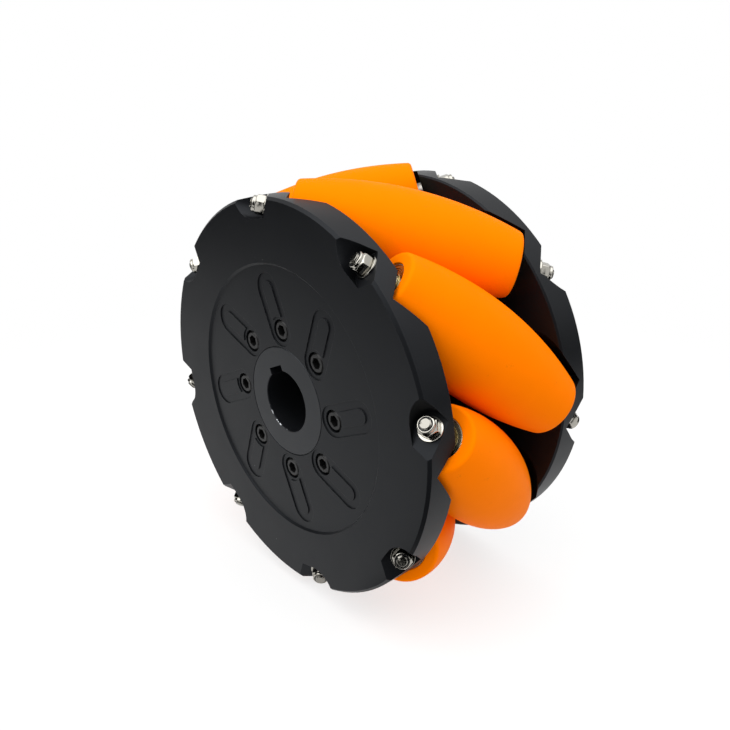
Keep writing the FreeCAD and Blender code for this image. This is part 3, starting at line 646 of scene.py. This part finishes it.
class WHEEL_OT_cut_studs(bpy.types.Operator):
    """Cut the threads of the eight axle studs"""
    bl_idname = "wheel.cut_studs"
    bl_label = "Cut studs"

    def execute(self, context):
        mesh = threaded_stud(context.scene.wheel_sizes)
        for number in ROLLERS:
            piece = place_copies(f"stud_{number}", mesh, [axle_frame(number)])
            settle(piece, "wheel", "stainless_steel", f"axle_{number}", finish_key="studs")
        return {"FINISHED"}


# The collar of a nut is as high as the nylon ring in it
LOCKING_RING_HEIGHT = 1.5 * MM


def lock_nut(sizes):
    """Hexagon with chamfered ends and a collar rolled over a locking ring, standing on Z = 0."""
    height, flats = sizes.nut_height, sizes.nut_flats
    shoulder = height - LOCKING_RING_HEIGHT
    bore, mouth = sizes.thread_radius + 0.02 * MM, sizes.thread_radius + sizes.ring_width
    foot, collar = flats / 2 - 0.2 * MM, flats / 2 - 0.25 * MM
    countersink, collar_foot, collar_top, mouth_edge = 0.3 * MM, 0.25 * MM, 0.55 * MM, 0.08 * MM
    tumbled_edge, least_angle = 0.10 * MM, math.radians(25)
    # Wider than the hexagon's corners, so that the blank's two cones chamfer them
    wide = flats * 0.65
    low_slope, high_slope = math.tan(math.radians(30)), math.tan(math.radians(42))
    blank = turned_mesh("nut_blank", rounded([
        (bore, countersink, 0), (bore + countersink, 0, 0), (foot, 0, 0),
        (wide, (wide - foot) * low_slope, 0), (wide, shoulder - (wide - collar) * high_slope, 0),
        (collar, shoulder, collar_foot), (collar, height, collar_top), (mouth, height, mouth_edge),
        (mouth, shoulder, 0), (bore, shoulder, 0)]), sizes.turning_steps)
    cutter = bpy.data.objects.new("nut_blank", blank)
    bpy.context.scene.collection.objects.link(cutter)
    hexagon, corner = bmesh.new(), flats / math.sqrt(3)
    bmesh.ops.create_cone(hexagon, cap_ends=True, segments=6, radius1=corner, radius2=corner,
                          depth=height * 3)
    prism = bpy.data.meshes.new("nut_prism")
    hexagon.to_mesh(prism)
    hexagon.free()
    nut = solid_of("nut", prism, [
        ("BOOLEAN", {"operation": "INTERSECT", "solver": "EXACT", "object": cutter}),
        ("BEVEL", {"width": tumbled_edge, "segments": 2, "limit_method": "ANGLE",
                   "angle_limit": least_angle})])
    bpy.data.objects.remove(cutter)
    shade(nut, FASTENER_SHARP)
    return nut


def locking_ring(sizes):
    """Nylon ring in the mouth of a nut: it bites into the stud's thread and lies below the collar's top."""
    bite, sunk, edge = 0.03 * MM, 0.35 * MM, 0.1 * MM
    inner, outer = sizes.thread_radius - bite, sizes.thread_radius + sizes.ring_width
    low, high = sizes.nut_height - LOCKING_RING_HEIGHT, sizes.nut_height - sunk
    return turned_mesh("locking_ring", rounded([
        (inner, low, 0), (outer, low, 0), (outer, high, edge), (inner, high, edge)]), sizes.turning_steps)


# How far the nut of each axle is turned, in degrees, as it was tightened
NUT_TURNS = {"near": (50, 41, 14, 52, 30, 48, 8, 42), "far": (22, 47, 5, 33, 56, 12, 20, 50)}


class WHEEL_OT_fit_nuts(bpy.types.Operator):
    """Fit a locking nut with its nylon ring at each end of the studs"""
    bl_idname = "wheel.fit_nuts"
    bl_label = "Fit nuts"

    def execute(self, context):
        sizes = context.scene.wheel_sizes
        nut, ring = lock_nut(sizes), locking_ring(sizes)
        seat = NUT_SEAT + sizes.washer_thickness
        for side, sign in SIDES.items():
            seats = []
            for number in ROLLERS:
                turn = Matrix.Rotation(math.radians(NUT_TURNS[side][number - 1]), 4, "Z")
                seats.append(end_frame(number, sign) @ Matrix.Translation((0, 0, seat)) @ turn)
            nuts = place_copies(f"lock_nuts_{side}", nut, seats)
            settle(nuts, "wheel", "stainless_steel", f"{side}_nuts")
            rings = place_copies(f"locking_rings_{side}", ring, seats)
            settle(rings, "wheel", "stainless_steel", finish_key="locking_ring")
        return {"FINISHED"}


class WHEEL_OT_fit_washers(bpy.types.Operator):
    """Fit a flat washer under each nut"""
    bl_idname = "wheel.fit_washers"
    bl_label = "Fit washers"

    def execute(self, context):
        sizes = context.scene.wheel_sizes
        hole, outer = sizes.thread_radius + 0.15 * MM, sizes.washer_radius
        low, high = NUT_SEAT, NUT_SEAT + sizes.washer_thickness
        edge, stamped_edge = 0.1 * MM, 0.2 * MM
        mesh = turned_mesh("washer", rounded([
            (hole, low, edge), (outer, low, edge), (outer, high, stamped_edge), (hole, high, edge)]),
            sizes.turning_steps)
        for side, sign in SIDES.items():
            piece = place_copies(f"washers_{side}", mesh, [end_frame(number, sign) for number in ROLLERS])
            settle(piece, "wheel", "stainless_steel", f"{side}_washers")
        return {"FINISHED"}


class WHEEL_OT_press_shields(bpy.types.Operator):
    """Press the shields that close both faces of each bearing"""
    bl_idname = "wheel.press_shields"
    bl_label = "Press shields"

    def execute(self, context):
        sizes = context.scene.wheel_sizes
        inner, outer, sheet = 5.15 * MM, 7.58 * MM, sizes.shield_sheet
        bead_in, bead_out, bead = 5.75 * MM, 6.85 * MM, 0.12 * MM
        inner_edge, outer_edge, bend = 0.1 * MM, 0.12 * MM, 0.05 * MM
        mesh = turned_mesh("shield", rounded([
            (inner, -sheet, 0), (outer, -sheet, 0), (outer, 0, outer_edge), (bead_out + bead, 0, bend),
            (bead_out, -bead, bend), (bead_in, -bead, bend), (bead_in - bead, 0, bend),
            (inner, 0, inner_edge)], 3), sizes.turning_steps)
        turn_over = Matrix.Rotation(math.pi, 4, "X")
        for number in ROLLERS:
            places = []
            for side in SIDES.values():
                ends = end_frame(number, side)
                places.append(ends @ Matrix.Translation((0, 0, SHIELD_HIGH)))
                places.append(ends @ Matrix.Translation((0, 0, SHIELD_LOW)) @ turn_over)
            piece = place_copies(f"shields_{number}", mesh, places)
            settle(piece, f"roller_{number}", "shield_steel", f"bearing_shields_{number}")
        return {"FINISHED"}


class WHEEL_OT_set_stage(bpy.types.Operator):
    """Set the floor, the lamps, the world and the camera"""
    bl_idname = "wheel.set_stage"
    bl_label = "Set stage"

    def execute(self, context):
        scene = context.scene
        scene.view_settings.view_transform = "Standard"
        lay_floor(scene)
        stand_cards()
        light_world(scene)
        hang_lamps(scene)
        aim_camera(scene)
        return {"FINISHED"}


# The floor's radius, where its fade starts and ends, and how see-through it is before the fade
FLOOR_RADIUS, FADE_START, FADE_END, FLOOR_CLEAR = 1.6, 0.13, 0.45, 0.72


def lay_floor(scene):
    """Matt paper under the lowest roller: pale and without shine, it fades into the background."""
    bpy.ops.mesh.primitive_circle_add(vertices=96, radius=FLOOR_RADIUS, fill_type="NGON",
                                      location=(0, 0, CAD_BOX[0][2]))
    floor = bpy.context.active_object
    floor.name = "floor"
    material = bpy.data.materials.new("Matt paper")
    material.use_nodes = True
    tree = material.node_tree
    tree.nodes.clear()
    lit = add_node(tree, "BsdfDiffuse", inputs={"Color": opaque(scene.wheel_colours.floor)})
    clear = add_node(tree, "BsdfTransparent")
    place = add_node(tree, "TexCoord").outputs["Object"]
    reach = add_node(tree, "VectorMath", {"operation": "LENGTH"}, {0: place})
    fade = add_node(tree, "MapRange", {"interpolation_type": "SMOOTHSTEP"}, {
        "Value": reach, "From Min": FADE_START, "From Max": FADE_END, "To Min": FLOOR_CLEAR})
    surface = add_node(tree, "MixShader", inputs={0: fade, 1: lit, 2: clear})
    add_node(tree, "OutputMaterial", inputs={"Surface": surface})
    floor.data.materials.append(material)


# Black cards by name: place of the middle, the point that the card looks at, its width and its height
CARDS = {
    "left_card": ((-0.34, -0.38, 0.09), (0.0, 0.0, 0.0), 1.0, 0.36),
    "left_floor_card": ((-0.48, -0.62, -0.095), (-0.48, -0.62, 1.0), 0.9, 0.50),
    "front_card": ((0.60, -0.50, 0.20), (0.0, 0.0, 0.0), 0.7, 0.65),
    "front_floor_card": ((0.22, -0.21, -0.095), (0.22, -0.21, 1.0), 0.36, 0.29),
    "right_card": ((0.66, 0.32, 0.02), (0.0, 0.0, 0.0), 0.8, 0.22),
    "back_card": ((0.10, 0.74, 0.03), (0.0, 0.0, 0.0), 0.8, 0.28),
}


def stand_cards():
    """Matt black studio cards that only reflections show.

    They darken the upper near face and give the bright steel its dark edges.
    """
    material, _, shader = new_material("Black card")
    shader.inputs["Base Color"].default_value = opaque(linear("#0A0A0A"))
    shader.inputs["Roughness"].default_value = 1.0
    shader.inputs["Specular IOR Level"].default_value = 0.0
    for name, (place, aim, width, height) in CARDS.items():
        bpy.ops.mesh.primitive_plane_add(size=1.0, location=place)
        card = bpy.context.active_object
        card.name = name
        card.scale = (width, height, 1.0)
        card.rotation_mode = "QUATERNION"
        card.rotation_quaternion = (Vector(aim) - Vector(place)).to_track_quat("Z", "Y")
        card.data.materials.append(material)
        card.visible_camera = card.visible_diffuse = card.visible_shadow = card.visible_transmission = False


# Strength of the world's light on the object, where 1 is white
WORLD_LIGHT = 0.77


def light_world(scene):
    """White background for the camera, reflections and refractions, and weaker light for all other rays."""
    world = bpy.data.worlds.new("Studio")
    scene.world = world
    world.use_nodes = True
    tree = world.node_tree
    tree.nodes.clear()
    rays = add_node(tree, "LightPath").outputs
    seen = rays["Is Camera Ray"]
    for other in ("Is Glossy Ray", "Is Transmission Ray"):
        seen = add_node(tree, "Math", {"operation": "MAXIMUM"}, {0: seen, 1: rays[other]}).outputs[0]
    strength = add_node(tree, "MapRange", inputs={"Value": seen, "To Min": WORLD_LIGHT, "To Max": 1.0})
    light = add_node(tree, "Background", inputs={"Color": (1, 1, 1, 1), "Strength": strength})
    add_node(tree, "OutputWorld", inputs={"Surface": light})


# Soft lamps by name: place, diameter and power in watts. Both shine at the wheel from above
LAMPS = {
    "Overhead": ((0.26, 0.08, 0.96), 1.4, 8.4),
    "Front": ((-0.19, -0.61, 0.71), 0.9, 4.5),
}


def hang_lamps(scene):
    for name, (place, size, power) in LAMPS.items():
        lamp = bpy.data.lights.new(name, "AREA")
        lamp.shape, lamp.size, lamp.energy = "DISK", size, power
        holder = bpy.data.objects.new(name, lamp)
        holder.location = place
        holder.rotation_mode = "QUATERNION"
        holder.rotation_quaternion = (-Vector(place)).to_track_quat("-Z", "Y")
        scene.collection.objects.link(holder)


# The photo's viewing angle in degrees and its distance, then its frame, its lens and its centre in pixels
AZIMUTH, ELEVATION, DISTANCE = 48.415, 23.02, 0.42853
FRAME_WIDTH, FOCAL_LENGTH, CENTRE_RIGHT, CENTRE_DOWN = 730, 839.45, 366.03, 373.69


def aim_camera(scene):
    data = bpy.data.cameras.new("Camera")
    camera = bpy.data.objects.new("Camera", data)
    scene.collection.objects.link(camera)
    scene.camera = camera
    turn, rise = math.radians(AZIMUTH), math.radians(ELEVATION)
    back = Vector((math.sin(turn) * math.cos(rise), -math.cos(turn) * math.cos(rise), math.sin(rise)))
    camera.location = back * DISTANCE
    camera.rotation_mode = "QUATERNION"
    camera.rotation_quaternion = (-back).to_track_quat("-Z", "Y")
    data.lens = FOCAL_LENGTH / FRAME_WIDTH * data.sensor_width
    data.shift_x = (FRAME_WIDTH / 2 - CENTRE_RIGHT) / FRAME_WIDTH
    data.shift_y = (CENTRE_DOWN - FRAME_WIDTH / 2) / FRAME_WIDTH
    data.clip_start = 0.01


OPERATORS = (WHEEL_OT_finish_machined, WHEEL_OT_turn_tyres, WHEEL_OT_press_shields, WHEEL_OT_cut_studs,
             WHEEL_OT_fit_nuts, WHEEL_OT_fit_washers, WHEEL_OT_set_stage)


class WHEEL_PT_pieces(bpy.types.Panel):
    """Lists the steps that make the wheel's looks"""
    bl_idname = "WHEEL_PT_pieces"
    bl_label = "Mecanum wheel"
    bl_space_type = "VIEW_3D"
    bl_region_type = "UI"
    bl_category = "Wheel"

    def draw(self, context):
        for group in (context.scene.wheel_sizes, context.scene.wheel_colours):
            for name in group.__annotations__:
                self.layout.prop(group, name)
        for operator in OPERATORS:
            self.layout.operator(operator.bl_idname)


CLASSES = (WheelSizes, WheelColours, *OPERATORS, WHEEL_PT_pieces)


def register():
    for item in CLASSES:
        bpy.utils.register_class(item)
    bpy.types.Scene.wheel_sizes = PointerProperty(type=WheelSizes)
    bpy.types.Scene.wheel_colours = PointerProperty(type=WheelColours)


def unregister():
    del bpy.types.Scene.wheel_colours
    del bpy.types.Scene.wheel_sizes
    for item in reversed(CLASSES):
        bpy.utils.unregister_class(item)


def main():
    register()
    bpy.ops.wheel.finish_machined()
    bpy.ops.wheel.turn_tyres()
    bpy.ops.wheel.press_shields()
    bpy.ops.wheel.cut_studs()
    bpy.ops.wheel.fit_nuts()
    bpy.ops.wheel.fit_washers()
    bpy.ops.wheel.set_stage()


if __name__ == "__main__":
    main()
